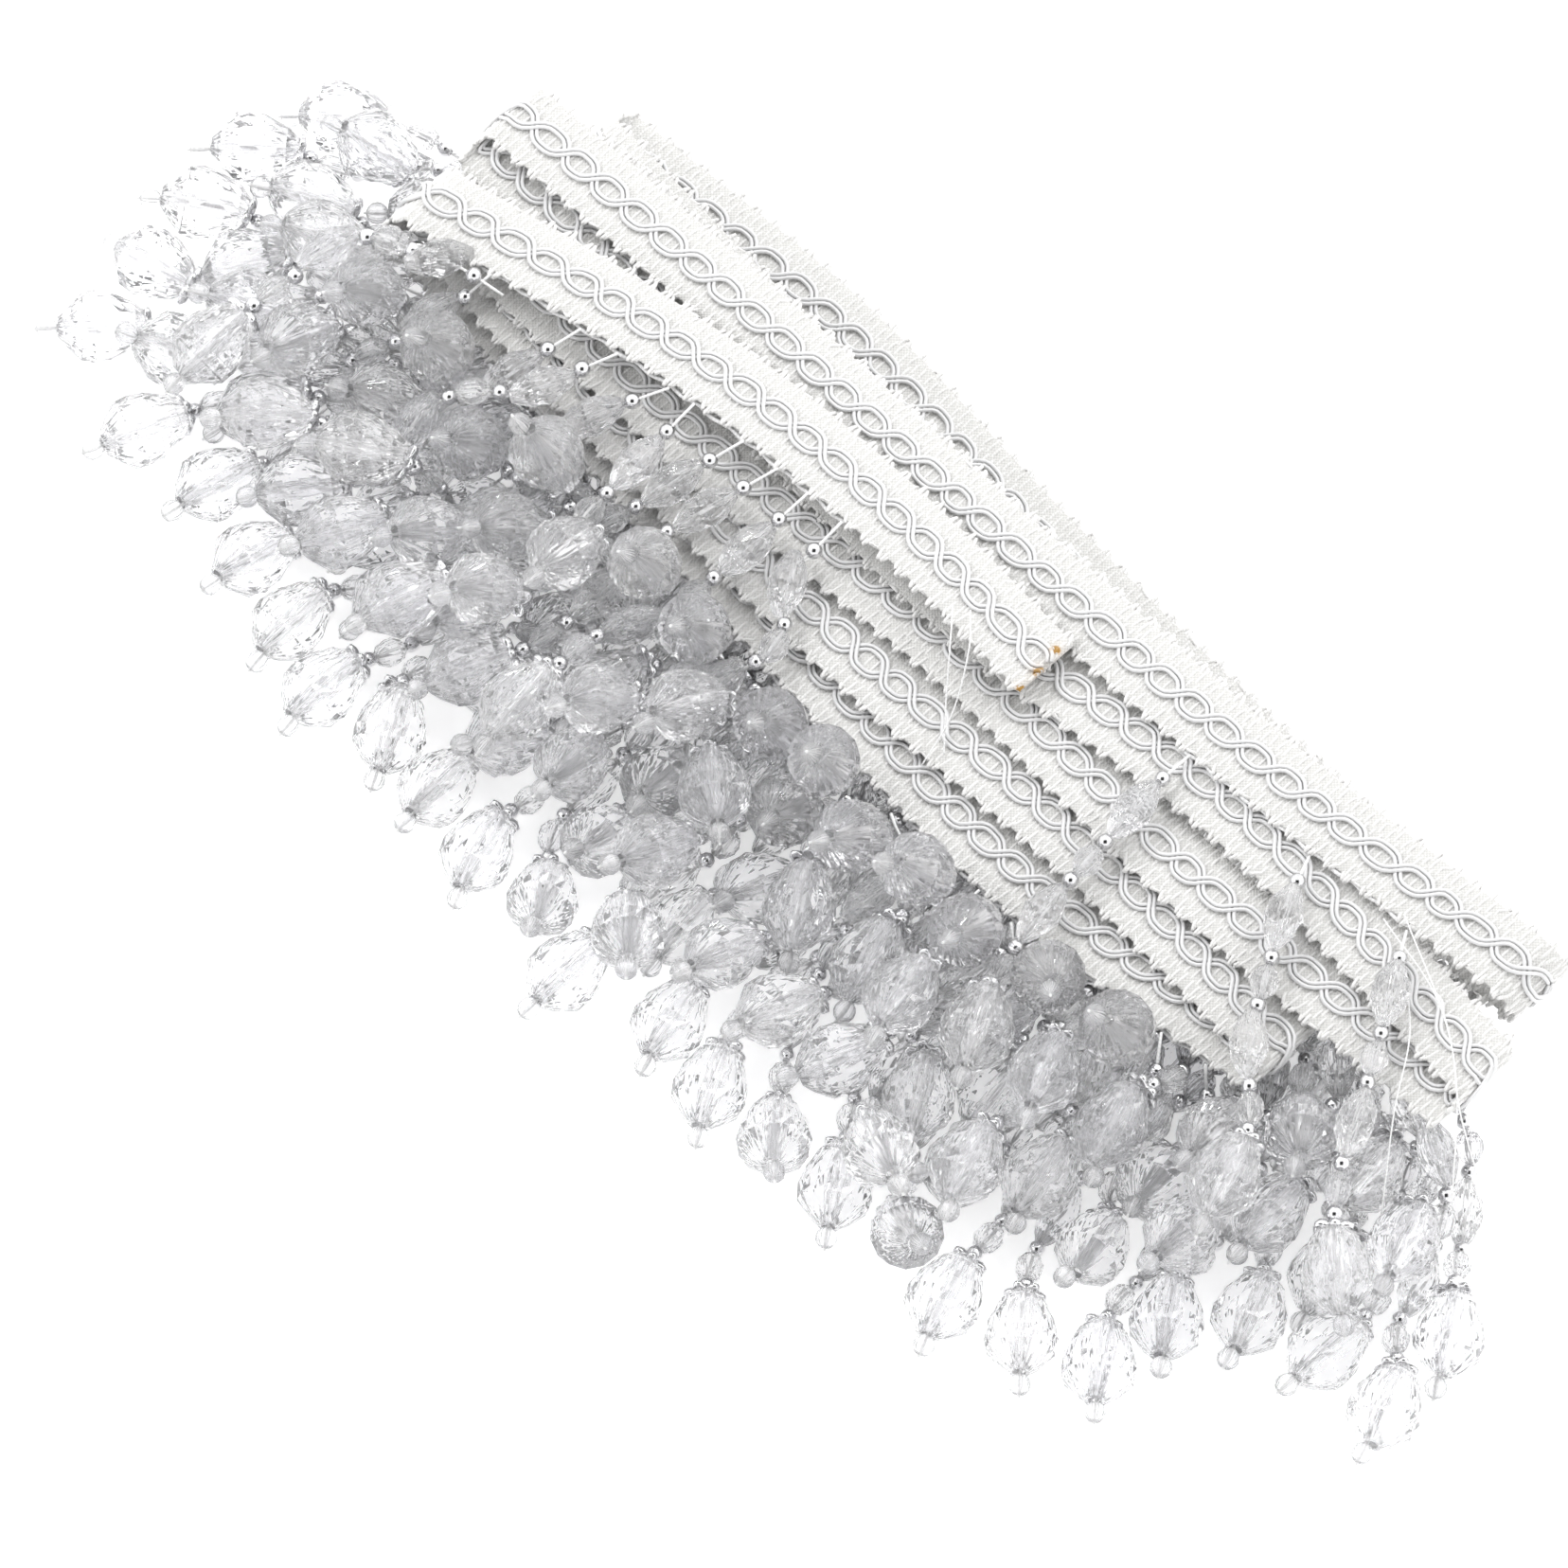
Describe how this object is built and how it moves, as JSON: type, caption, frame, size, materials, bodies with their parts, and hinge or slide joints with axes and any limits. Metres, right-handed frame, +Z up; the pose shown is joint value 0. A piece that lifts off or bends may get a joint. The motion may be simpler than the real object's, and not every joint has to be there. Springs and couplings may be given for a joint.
{
  "type": "beaded fringe trim",
  "caption": "Length of white gimp braid with a fringe of clear faceted bead strands, folded back and forth into a loose flat bundle.",
  "frame": {"origin": "middle of the footprint, on the surface that the bundle lies on", "axes": "+X along the braid, the fringe falls towards -Y, +Z up from the surface"},
  "size_m": [0.3292, 0.147, 0.0416],
  "materials": {
    "braid": "matte viscose yarn with satin gimp cords",
    "beads": "clear faceted acrylic",
    "silvered": "mirror plated spacer beads and bead caps",
    "thread": "white beading thread and sewing tape"
  },
  "bodies": {
    "root": {"heading": "braid", "fringe_back_3": "beads", "fringe_back_high": "beads", "fringe_middle_left": "beads", "fringe_middle_right": "beads", "fringe_front_high": "beads", "fringe_front_mid": "beads", "fringe_front_low": "beads", "fringe_top": "beads", "fringe_crossing": "beads"}
  },
  "joints": []
}
